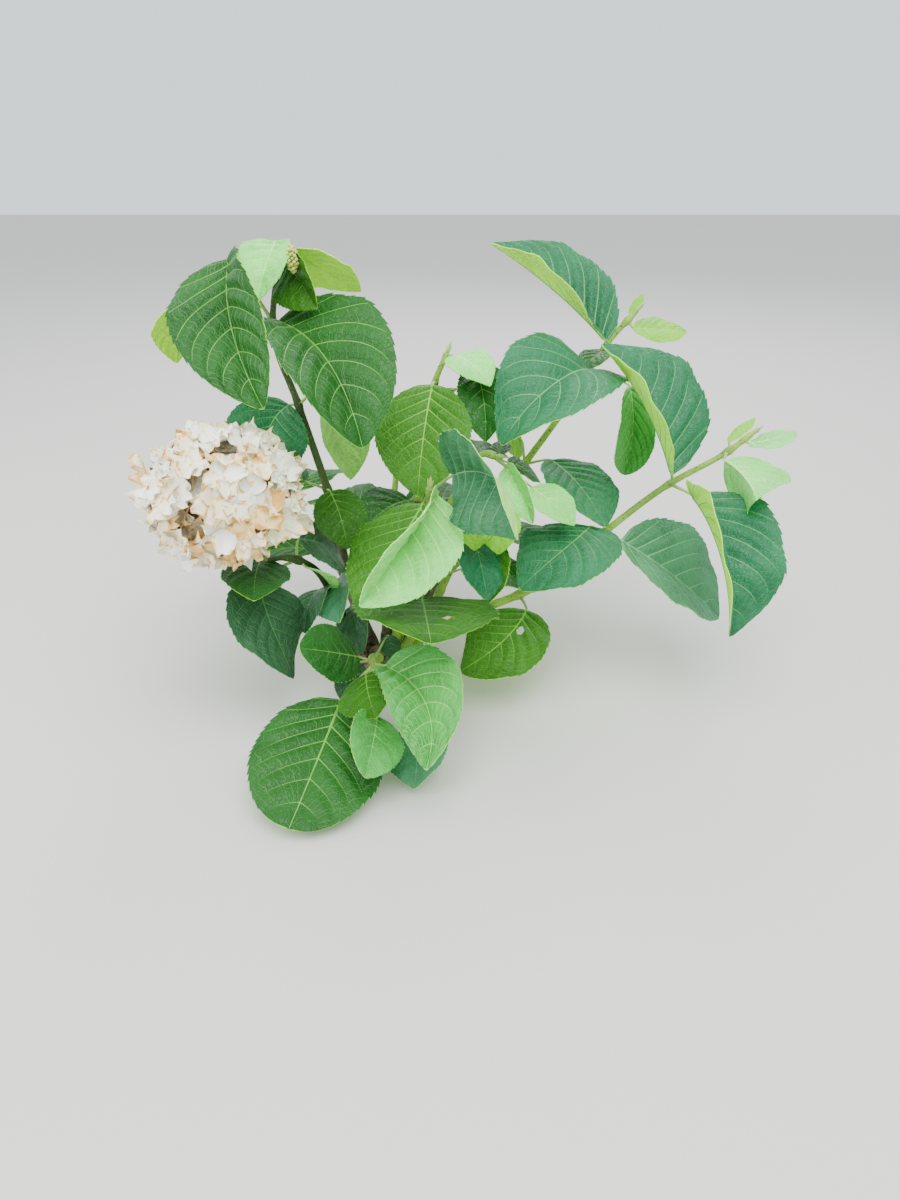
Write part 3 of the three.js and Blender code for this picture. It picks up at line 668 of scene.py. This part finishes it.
# Each tint's tones: the blade's face, its back, and its veins
# A back is paler, as a leaf's underside is, and is painted brighter still to paint the glow of light shining
# through the leaf
LEAF_TONES = {
    "mature": ((0.012, 0.09, 0.01), (0.24, 0.56, 0.04), (0.14, 0.4, 0.05)),
    "bright": ((0.036, 0.16, 0.008), (0.42, 0.85, 0.05), (0.22, 0.54, 0.05)),
    "dull": ((0.024, 0.085, 0.034), (0.13, 0.32, 0.09), (0.09, 0.24, 0.08)),
    "young": ((0.19, 0.68, 0.13), (0.28, 0.8, 0.16), (0.66, 0.98, 0.34)),
    "cool": ((0.014, 0.142, 0.052), (0.38, 0.8, 0.05), (0.13, 0.4, 0.12)),
    "deep": ((0.022, 0.11, 0.003), (0.18, 0.42, 0.02), (0.14, 0.4, 0.04)),
    # fresh: a fresh green face, made paler in part to paint a sheen of light on the leaf
    "fresh": ((0.055, 0.32, 0.05), (0.28, 0.62, 0.12), (0.3, 0.68, 0.16)),
    # misty: a bluish pale face that paints the sheen of the sky reflected off the leaf
    "misty": ((0.045, 0.2, 0.085), (0.3, 0.62, 0.14), (0.2, 0.5, 0.22)),
    "lime": ((0.17, 0.5, 0.008), (0.42, 0.85, 0.04), (0.4, 0.75, 0.06)),
}
TINTS = list(LEAF_TONES)
# Materials in the order of their slots: a face and a back for each tint, its veins, and its cross veins
LEAF_MATERIALS = []
VEIN_MATERIALS = []
NET_MATERIALS = []
for tint, (face, back, vein) in LEAF_TONES.items():
    LEAF_MATERIALS.append(surface(tint + "_face", scaled(face, 1.28, 0.004), scaled(face, 0.74), 26, 0.38,
                                  net=scaled(face, 1.14, 0.002), bump=0.7, deep=0.0005, gloss=0.2))
    LEAF_MATERIALS.append(surface(tint + "_back_and_painted_glow", scaled(back, 1.15), scaled(back, 0.85), 26, 0.6,
                                  net=scaled(back, 1.25), bump=0.5, deep=0.0004, gloss=0.15))
    VEIN_MATERIALS.append(surface("vein_" + tint, vein, scaled(vein, 0.8), 60, 0.5, bump=0.35))
    light, dark = (between(face, vein, share) for share in (0.34, 0.2))
    NET_MATERIALS.append(surface("net_" + tint, light, dark, 60, 0.5, bump=0.35))

GREEN_CANE = surface("green_cane", (0.3, 0.5, 0.05), (0.16, 0.3, 0.03), 45, 0.48,
                     fleck=((0.05, 0.06, 0.02), 520, 0.63))
DARK_CANE = surface("dark_cane", (0.045, 0.085, 0.014), (0.02, 0.042, 0.008), 45, 0.55,
                    fleck=((0.11, 0.13, 0.05), 520, 0.63), bump=0.4)
OLD_CANE = surface("old_cane", (0.09, 0.1, 0.035), (0.05, 0.05, 0.022), 40, 0.65,
                   fleck=((0.16, 0.13, 0.08), 420, 0.62), bump=0.6, deep=0.0006)
OLD_WOOD = surface("old_wood", (0.2, 0.145, 0.095), (0.07, 0.05, 0.033), 90, 0.9,
                   fleck=((0.035, 0.025, 0.018), 260, 0.55), bump=0.9, deep=0.0012, grain=500)
STALK_SKIN = surface("stalk_skin", (0.3, 0.47, 0.1), (0.22, 0.38, 0.08), 50, 0.45, bump=0.25)
BUD_SKIN = surface("bud_skin", (0.42, 0.56, 0.16), (0.3, 0.45, 0.1), 120, 0.5)
FLOWER_BUD = surface("flower_bud", (0.6, 0.62, 0.13), (0.42, 0.52, 0.1), 200, 0.55)
PETAL_MATERIALS = [
    surface("petal_white", (0.96, 1.0, 0.96), (0.93, 0.95, 0.85), 110, 0.6, gloss=0.3),
    surface("petal_cream", (0.97, 0.96, 0.8), (0.93, 0.79, 0.48), 120, 0.65, bump=0.35, gloss=0.25),
    surface("petal_tan", (0.94, 0.76, 0.4), (0.87, 0.54, 0.16), 140, 0.7, bump=0.4, gloss=0.2),
    surface("petal_brown", (0.84, 0.56, 0.2), (0.7, 0.36, 0.09), 140, 0.75, bump=0.4, gloss=0.2),
    surface("petal_rose", (0.62, 0.2, 0.18), (0.6, 0.35, 0.25), 150, 0.7, gloss=0.25),
]
PEDICEL = surface("pedicel", (0.66, 0.55, 0.3), (0.6, 0.33, 0.22), 90, 0.6)
HEAD_STALK = surface("head_stalk", (0.25, 0.3, 0.1), (0.14, 0.16, 0.06), 60, 0.6)


# Canes, shoots and buds

OLD_CANES = ("left_tall", "flowering", "rear_left", "rear", "low_rear", "centre", "rear_right")
DARK_SHOOTS = ("left_tall", "flowering")
# Bark: a step along it, a swelling and its reach, ridges, knobs, and the draw above which a knob stands
BARK_STEP = 2.5
SWELLING = 0.3
SWELLING_REACH = 5
RIDGE = 0.045
KNOB = 0.07
KNOB_OVER = 0.93
# Leaf scars on the bare cane: the first one's place, the distance between two, the share kept clear
FIRST_SCAR = 0.14
SCAR_SPACING = 62
SCAR_CLEAR = 0.04
STALK_RADIUS = 2.6
STALK_INTO_BLADE = 1.5
# A growing tip's closed pair of leaves, and the scales that stand off it: length as a share, radius, lean
BUD_RADIUS = 3.0
OUTER_SCALES = (0.8, 1.9, 0.33)
INNER_SCALES = (0.6, 1.6, 0.25)
# The young flower cluster's place from the tall shoot's tip, its reach, its buds and their radii
CLUSTER_PLACE = np.array([19.0, -42.0, 4.0])
CLUSTER_RADIUS = np.array([4.5, 4.5, 11.0])
CLUSTER_BUDS = 54
CLUSTER_BUD_RADII = (1.2, 1.8)


def bark(course, start, end, swellings, sides, relief):
    """A limb's points and faces with ridges, small knobs and swellings at the shares given."""
    count = max(12, int((end - start) * course.length / BARK_STEP))
    share = np.linspace(start, end, count)
    radii = CANE_FOOT + (SHOOT_TIP - CANE_FOOT) * share
    for place in swellings:
        away = (share - place) * course.length / SWELLING_REACH
        radii = radii * (1 + SWELLING * np.exp(-(away**2)))
    centre = course.at(share)
    body, faces = rod(centre, radii, sides)
    ring = body[:-2].reshape(count, sides, 3)
    turn = turns(sides)
    phase = rng.uniform(0, 2 * np.pi, 3)
    groove = np.sin(5 * turn + phase[0] + 2.5 * np.sin(share[:, None] * 9)) * 0.6
    groove = groove + np.sin(8 * turn + phase[1] - share[:, None] * 30) * 0.4
    knobs = rng.random((count, sides)) > KNOB_OVER
    swell = 1 + relief * (RIDGE * groove + KNOB * knobs)
    swell[[0, -1]] = 1
    ring = centre[:, None] + (ring - centre[:, None]) * swell[..., None]
    body[:-2] = ring.reshape(-1, 3)
    return body, faces


def add_bud_scale(build, root, way, length, radius, up):
    """Adds a pointed bud scale."""
    t = np.linspace(0, 1, 9)
    line = root + way * (t * length)[:, None]
    radii = radius * np.sin(np.pi * np.clip(t, 0.02, 0.985) ** 0.62) ** 0.85
    add_rod(build, line, radii, 8, 0, 0.7, up)


def add_bud(build, course):
    """Adds a growing tip: one closed pair of leaves and the scales that stand off it."""
    root = course.at(1.0)
    way = course.towards(1.0)
    side = unit(np.cross(way, [0.3, 0.2, 1.0]))
    up = np.cross(side, way)
    add_bud_scale(build, root - way * 2, way, BUD_LENGTH, BUD_RADIUS, up)
    for turn in (-1, 1):
        for (share, radius, lean), out in ((OUTER_SCALES, side), (INNER_SCALES, up)):
            leaning = unit(way + out * lean * turn)
            add_bud_scale(build, root - way * 1.5, leaning, BUD_LENGTH * share, radius, out)


def add_flower_buds(build, course):
    """Adds the young flower cluster: small beads on a short stalk that leans."""
    root = course.at(1.0)
    centre = root + CLUSTER_PLACE
    line = stalk_line(root, centre, course.towards(1.0), np.array([0.2, 0.0, 1.0]), 7)
    add_rod(build, line, np.linspace(1.5, 0.9, 7), 6)
    for out in spread_out(CLUSTER_BUDS):
        place = centre + out * CLUSTER_RADIUS * rng.uniform(0.75, 1.1)
        add_rod(build, [centre + out * (0.2, 0.2, 4.0), place], [0.8, 0.5], 5)
        add_ball(build, place, rng.uniform(*CLUSTER_BUD_RADII), 1)


def add_stalk(build, root, row):
    """Adds a leaf's stalk, and returns where the blade begins."""
    length, heading, rise = row["stalk"]
    stalk_way = direction(heading, rise)
    base = root + stalk_way * length
    blade_length, blade_heading, blade_rise, _ = row["blade"]
    blade_way = direction(blade_heading, blade_rise)
    line = stalk_line(root, base + blade_way * STALK_INTO_BLADE, stalk_way, blade_way)
    t = np.linspace(0, 1, len(line))
    radii = min(1.0, 0.55 + blade_length / 300) * (STALK_RADIUS - 1.3 * t**0.5 + 0.35 * (t - 0.45) ** 2)
    add_rod(build, line, radii, 10, 1, 0.85, UP)
    return base


def add_shoot(name, bare, path):
    """Makes one cane, its leafy shoot, its leaves with their veins, and its tip."""
    course = Course(path)
    rows = [dict(zip(LEAF_COLUMNS, row)) for row in LEAVES[name]]
    cane = Build()
    scars = np.arange(FIRST_SCAR, bare - SCAR_CLEAR, SCAR_SPACING / course.length)
    cane.add(*bark(course, 0.0, bare, scars, 18, 1.0))
    cane.make("cane_" + name, [OLD_CANE if name in OLD_CANES else GREEN_CANE], "cane", "stem_" + name)
    wood, blades, veins, tip = Build(), Build(), Build(), Build()
    wood.add(*bark(course, bare, 1.0, sorted({row["place"] for row in rows}), 16, 0.6))
    for row in rows:
        base = add_stalk(wood, course.at(row["place"]), row)
        add_leaf(blades, veins, base, row, HOLES.get((name, row["name"])))
    node = "foliage_" + name
    skin = DARK_CANE if name in DARK_SHOOTS else GREEN_CANE
    wood.make("shoot_" + name, [skin, STALK_SKIN], "cane", node)
    blades.make("blades_" + name, LEAF_MATERIALS, "foliage", node, 60)
    veins.make("veins_" + name, VEIN_MATERIALS + NET_MATERIALS, "foliage", node)
    if name == "left_tall":
        add_flower_buds(tip, course)
        tip.make("flower_buds", [BUD_SKIN, FLOWER_BUD], "foliage", node)
    elif name != "flowering":
        add_bud(tip, course)
        tip.make("bud_" + name, [BUD_SKIN], "foliage", node)


for cane_name, (bare_share, cane_path) in CANES.items():
    add_shoot(cane_name, bare_share, cane_path)


# The crown

# The mound's rings, the heights where its radius is given, and that radius as a share of the crown's
MOUND_HEIGHTS = np.array([0, 1.5, 4, 7, 10, 13, 16, 19, 21, 22.5])
MOUND_SIDES = 96
PROFILE_HEIGHTS = [-6, 4, 13, CROWN_TOP, 23]
PROFILE = np.array([1.1, 0.9, 0.65, 0.3, 0.18])
# A stub's rings and sides, its radius as a share of the cane's foot, and how low its bark may lie
STUB_RINGS = 9
STUB_SIDES = 22
STUB_PROFILE = np.array([1.7, 1.3, 1.12, 1.06])
STUB_LOWEST = 0.3


def add_mound(build):
    """Adds the flared woody mound, flat on the ground."""
    radii = np.interp(MOUND_HEIGHTS, PROFILE_HEIGHTS, PROFILE * CROWN_RADIUS)
    turn = turns(MOUND_SIDES)
    fold = 0.05 * np.sin(7 * turn) + 0.035 * np.sin(12 * turn + 1.3)
    rings = []
    for z, radius in zip(MOUND_HEIGHTS, radii):
        rough = rng.uniform(-0.02, 0.02, MOUND_SIDES)
        wide = radius * (0.97 + fold * (1 - z / 40) + rough + 0.02 * np.sin(18 * turn + z * 0.4))
        rings.append(np.stack([wide * np.cos(turn), wide * np.sin(turn), np.full(MOUND_SIDES, z)], 1))
    ends = [[0, 0, 0], [0, 0, CROWN_TOP + 1.5]]
    build.add(np.vstack(rings + [ends]), tube_faces(len(MOUND_HEIGHTS), MOUND_SIDES))


def add_stub(build, path):
    """Adds the stub that leads from the mound into a cane."""
    course = Course(path)
    way = course.towards(0.0)
    end = course.at(0.0) + way * 1.2
    foot = np.array([path[0][0] * 0.6, path[0][1] * 0.6, -4.0])
    neck = end - way * 9
    t = np.linspace(0, 1, STUB_RINGS)[:, None]
    line = (1 - t) ** 2 * foot + 2 * t * (1 - t) * neck + t**2 * end
    body, faces = rod(line, np.interp(t[:, 0], [0, 0.5, 0.85, 1], STUB_PROFILE * CANE_FOOT), STUB_SIDES)
    rough = 1 + 0.06 * np.sin(6 * turns(STUB_SIDES) + path[0][0])
    rough = rough + rng.uniform(-0.035, 0.035, (STUB_RINGS, STUB_SIDES))
    centre = line[:, None]
    ring = body[:-2].reshape(STUB_RINGS, STUB_SIDES, 3)
    body[:-2] = (centre + (ring - centre) * rough[..., None]).reshape(-1, 3)
    body[:, 2] = np.maximum(body[:, 2], STUB_LOWEST)
    build.add(body, faces)


crown = Build()
add_mound(crown)
for _, cane_path in CANES.values():
    add_stub(crown, cane_path)
crown.make("crown_bark", [OLD_WOOD], "old_wood", "root_crown")


# The flower head

# The way from the head to the viewer, and what is across and up as the viewer sees it
VIEWED = np.array([0.243, -0.907, 0.344])
ACROSS = np.array([0.966, 0.259, 0.0])
UPWARD = np.array([-0.089, 0.332, 0.939])
# Gaps between the clusters: across, up and reach, as shares of the head's radius
GAPS = [(-0.5, -0.08, 0.12), (-0.32, -0.2, 0.13), (0.14, 0.06, 0.13), (0.2, -0.08, 0.09), (-0.14, -0.5, 0.09)]
# Scorched places: across, up, reach and strength
SCORCHED = [
    (-0.74, -0.3, 0.2, 0.45), (-0.45, -0.58, 0.22, 0.4), (-0.12, -0.9, 0.3, 0.75), (0.3, -0.5, 0.28, 0.7),
    (0.55, -0.35, 0.25, 0.5), (-0.03, 0.55, 0.16, 0.4), (0.5, 0.4, 0.18, 0.45), (-0.36, 0.6, 0.1, 0.4),
    (-0.28, 0.13, 0.1, 0.4), (0.1, 0.2, 0.12, 0.3),
]
# The hub's share of the way to the centre, and the arms' share of the head's radius
HUB_PLACE = 0.62
ARM_REACH = 0.46
# Clusters of florets, the arms that carry them, and two shells: the places and the share of the radius
CLUSTERS = 46
ARMS = 11
SHELLS = ((100, 1.0), (40, 0.72))
FLORET_SIZES = (17, 23)
SEPAL_CELLS = 7
SEPAL_HALF_THICK = 0.22
# How scorched a sepal is when it turns cream, tan and brown, and the slots of brown and of rose
SHADES = [0.34, 0.62, 0.9]
BROWN = 3
ROSE = 4
ROSE_SHARE = 0.012


def seen(across, up):
    """The direction from the head's centre that shows at this place."""
    deep = math.sqrt(max(0.0, 1 - across**2 - up**2))
    return unit(across * ACROSS + up * UPWARD + deep * VIEWED)


def sepal_slots(i, j, shade):
    """The slots of a sepal's cells, some at its margin browner by one step or two, and that of its rim."""
    tone = int(np.searchsorted(SHADES, shade))
    slots = np.full(len(i), tone)
    margin = (i == SEPAL_CELLS - 1) | (j == 0) | (j == SEPAL_CELLS - 1)
    slots[margin & (rng.random(len(i)) < 0.3 + 0.6 * shade)] = min(tone + 1, BROWN)
    slots[margin & (rng.random(len(i)) < 0.12 + 0.35 * shade)] = min(tone + 2, BROWN)
    if rng.random() < ROSE_SHARE:
        slots[(j == SEPAL_CELLS // 2) & (i > 1)] = ROSE
    return slots, min(tone + 2, BROWN)


def add_sepal(build, centre, out, way, length, width, cup, shade):
    """Adds one petal-like sepal: a cupped, ruffled blade."""
    rows, columns = (np.linspace(start, 1, SEPAL_CELLS + 1) for start in (0, -1))
    t, w = np.meshgrid(rows, columns, indexing="ij")
    half = width / 2 * np.sin(np.pi * np.clip(t, 0.05, 0.975) ** 0.8) ** 0.5
    phase = rng.uniform(0, 2 * np.pi, 4)
    around = np.arctan2(w * half * 2 / width, t + 0.1)
    rim = np.maximum(np.abs(w), t)
    curl = rng.uniform(-0.5, 0.5)
    lift = cup * length * t**1.3 + curl * length * np.clip(t - 0.5, 0, 1) ** 1.4
    lift = lift + 0.16 * length * rim**3 * np.sin(6.5 * around + phase[0])
    lift = lift + 0.06 * length * rim * np.sin(3 * around + phase[1] + 3 * t)
    lift = lift + rng.uniform(-0.2, 0.2) * width * np.abs(w) * t
    crowd = 1 - 0.16 * rim**2 * (1 + np.sin(6.5 * around + phase[0] + 1.2)) / 2
    aside = w * half * crowd + 0.1 * length * np.sin(2.5 * t + phase[2]) * t
    middle = centre + way * (t * length * crowd)[..., None] + np.cross(out, way) * aside[..., None]
    middle = middle + out * lift[..., None]
    kept = np.ones((SEPAL_CELLS, SEPAL_CELLS), bool)
    slots, rim_slot = sepal_slots(*np.nonzero(kept), shade)
    add_sheet(build, middle, normals(middle) * SEPAL_HALF_THICK, kept, slots, slots, rim_slot)


def add_floret(petals, centre, out, scorch):
    """Adds four sepals about a centre, and returns the way that they face, roughly outwards."""
    face = unit(out + rng.normal(0, 0.2, 3))
    first = unit(np.cross(face, rng.normal(0, 1, 3)))
    size = rng.uniform(*FLORET_SIZES)
    for k in range(4):
        turn = math.pi / 2 * k + rng.uniform(-0.15, 0.15)
        way = first * math.cos(turn) + np.cross(face, first) * math.sin(turn)
        cup = rng.uniform(-0.05, 0.45)
        shade = np.clip(scorch + rng.uniform(-0.15, 0.32), 0, 1)
        foot = centre + face * (0.5 + 0.4 * k)
        add_sepal(petals, foot, face, way, size, size * rng.uniform(0.9, 1.15), cup, shade)
    return face


def add_arms(build, hub, up):
    """Adds the head's arms from the hub, and returns where each ends."""
    knees = []
    for out in spread_out(ARMS, 1.0):
        knee = BLOOM_CENTRE + out * BLOOM_RADIUS * ARM_REACH
        add_rod(build, stalk_line(hub, knee, up, out, 7), np.linspace(2.0, 1.3, 7), 7)
        knees.append(knee)
    return np.array(knees)


def add_bloom():
    """Makes a round head of four-sepalled florets on a branching stalk, scorched in places and with gaps."""
    petals, stalks = Build(), Build()
    gaps = [(seen(across, up), reach) for across, up, reach in GAPS]
    scorched = [(seen(across, up), reach, strength) for across, up, reach, strength in SCORCHED]
    clusters = spread_out(CLUSTERS)
    hidden = np.clip(rng.normal(0.25, 0.2, CLUSTERS), 0, 0.8)
    course = Course(CANES["flowering"][1])
    start = course.at(1.0)
    up = unit(BLOOM_CENTRE - start)
    hub = start + (BLOOM_CENTRE - start) * HUB_PLACE
    line = stalk_line(start, hub, course.towards(1.0), up, 12)
    add_rod(stalks, line, np.linspace(SHOOT_TIP, 3.4, 12), 12)
    knees = add_arms(stalks, hub, up)
    for count, depth in SHELLS:
        for out in spread_out(count):
            out = unit(out + rng.normal(0, 0.06, 3))
            if any(np.linalg.norm(out - gap) < reach for gap, reach in gaps):
                continue
            near = clusters @ out
            swell = 0.9 + 0.1 * np.clip((np.max(near) - 0.9) / 0.085, 0, 1)
            centre = BLOOM_CENTRE + out * BLOOM_RADIUS * depth * (swell - rng.uniform(0.18, 0.27))
            knee = knees[np.argmin(np.linalg.norm(knees - centre, axis=1))]
            line = stalk_line(knee, centre, unit(knee - hub), out, 7)
            add_rod(stalks, line, np.linspace(0.95, 0.65, 7), 6, 1)
            scorch = 0.1 if out @ VIEWED > 0.1 else hidden[np.argmax(near)]
            for place, reach, strength in scorched:
                scorch += strength * math.exp(-((np.linalg.norm(out - place) / reach) ** 2))
            face = add_floret(petals, centre, out, scorch)
            add_ball(stalks, centre + face * 1.8, rng.uniform(1.2, 1.7), 2)
    petals.make("petals", PETAL_MATERIALS, "petals", "flower_head", 80)
    stalks.make("head_stalks", [HEAD_STALK, PEDICEL, PETAL_MATERIALS[2]], "cane", "flower_head")


rng = np.random.default_rng(SEED)
add_bloom()


# Floor, lights and camera, in metres

FLOOR_HALF = 6
FLOOR_HEIGHT = -0.0006
FLOOR_TONE = (0.62, 0.6, 0.57, 1)
SKY_TONE = (0.88, 0.96, 1.0, 1)
SKY_STRENGTH = 1.4
# Each lamp: its place, its width and its power. All of them face the same point.
LAMPS = {
    "key": ((0.3, -1.0, 2.0), 1.5, 62),
    "fill": ((-1.6, -0.9, 1.3), 1.4, 32),
    "back": ((0.4, 1.7, 1.7), 1.2, 28),
}
LAMPS_FACE = np.array([0.08, 0.0, 0.2])
# The photograph's camera: its place, how far it looks down, and its lens in pixels of the photograph
CAMERA_PLACE = (0.071, -0.845, 0.520)
CAMERA_PITCH = 27.5
PHOTO_HEIGHT = 1200
FOCAL_PIXELS = 901


def add_floor():
    """Lays a plain pale floor just under the shrub."""
    mesh = bpy.data.meshes.new("floor")
    corners = [(-1, -1), (1, -1), (1, 1), (-1, 1)]
    mesh.from_pydata([(x * FLOOR_HALF, y * FLOOR_HALF, FLOOR_HEIGHT) for x, y in corners], [], [(0, 1, 2, 3)])
    paint = bpy.data.materials.new("floor_paint")
    paint.use_nodes = True
    shader = paint.node_tree.nodes["Principled BSDF"]
    shader.inputs["Base Color"].default_value = FLOOR_TONE
    shader.inputs["Roughness"].default_value = 0.9
    mesh.materials.append(paint)
    floor = bpy.data.objects.new("floor", mesh)
    bpy.context.scene.collection.objects.link(floor)


def add_lights():
    """Lights the scene softly from all round and from the lamps."""
    world = bpy.data.worlds.new("studio")
    world.use_nodes = True
    sky = world.node_tree.nodes["Background"]
    sky.inputs["Color"].default_value = SKY_TONE
    sky.inputs["Strength"].default_value = SKY_STRENGTH
    bpy.context.scene.world = world
    for name, (place, width, power) in LAMPS.items():
        light = bpy.data.lights.new(name, "AREA")
        light.size = width
        light.energy = power
        lamp = bpy.data.objects.new(name, light)
        lamp.location = place
        x, y, z = unit(np.array(place) - LAMPS_FACE)
        lamp.rotation_euler = (math.acos(z), 0, math.atan2(x, -y))
        bpy.context.scene.collection.objects.link(lamp)


def add_camera():
    """Sets the camera where the photograph was taken from."""
    lens = bpy.data.cameras.new("camera")
    lens.sensor_width = 36
    lens.lens = FOCAL_PIXELS * lens.sensor_width / PHOTO_HEIGHT
    lens.clip_start = 0.01
    camera = bpy.data.objects.new("camera", lens)
    camera.location = CAMERA_PLACE
    camera.rotation_euler = (math.radians(90 - CAMERA_PITCH), 0, 0)
    bpy.context.scene.collection.objects.link(camera)
    bpy.context.scene.camera = camera


add_floor()
add_lights()
add_camera()
